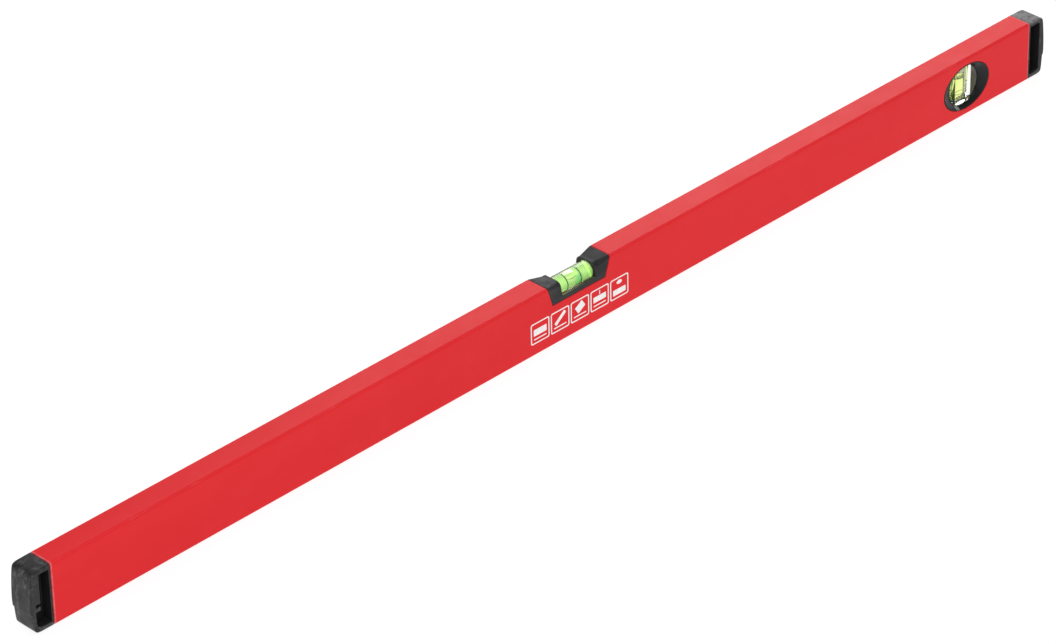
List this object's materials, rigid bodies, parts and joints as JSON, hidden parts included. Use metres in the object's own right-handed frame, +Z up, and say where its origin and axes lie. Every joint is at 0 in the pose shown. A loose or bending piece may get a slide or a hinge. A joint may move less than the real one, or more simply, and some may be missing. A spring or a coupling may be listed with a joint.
{
  "type": "spirit level",
  "caption": "Box-section spirit level: hollow aluminium profile with a level vial in a notch at mid-length, a plumb vial in an oval window near one end, and moulded end caps.",
  "frame": {"origin": "centre of the bottom measuring face", "axes": "+X along the level towards the plumb vial's end, -Y out of the front face with the pictograms, +Z up, from the bottom measuring face to the top edge with the notch"},
  "size_m": [1.2, 0.0244, 0.058],
  "materials": {
    "profile": "red powder coat, fine orange-peel, satin",
    "end_cap": "dark grey moulded shock-absorbing plastic, scuffed",
    "holder": "black moulded plastic, fine grain",
    "bezel": "black moulded plastic, semi-gloss",
    "vial": "clear polished acrylic",
    "plug": "satin",
    "liquid": "clear fluorescent yellow-green liquid",
    "bubble": "air bubble",
    "mark": "dark printed ring"
  },
  "bodies": {
    "level": {"box_profile": "profile", "left_end_cap": "end_cap", "right_end_cap": "end_cap", "centre_vial_holder": "holder", "centre_vial_body": "vial", "centre_vial_plug": "plug", "centre_vial_liquid": "liquid", "centre_mark_left": "mark", "centre_mark_right": "mark", "plumb_front_bezel": "bezel", "plumb_rear_bezel": "bezel", "plumb_vial_body": "vial", "plumb_vial_plug": "plug", "plumb_vial_liquid": "liquid", "plumb_mark_upper": "mark", "plumb_mark_lower": "mark"},
    "centre_bubble": {"centre_bubble": "bubble"},
    "plumb_bubble": {"plumb_bubble": "bubble"}
  },
  "joints": [
    {"name": "centre_bubble_slide", "type": "slide", "parent": "level", "child": "centre_bubble", "axis": [1, 0, 0], "range_m": [-0.012, 0.012]},
    {"name": "plumb_bubble_slide", "type": "slide", "parent": "level", "child": "plumb_bubble", "axis": [0, 0, 1], "range_m": [-0.0108, 0]}
  ]
}
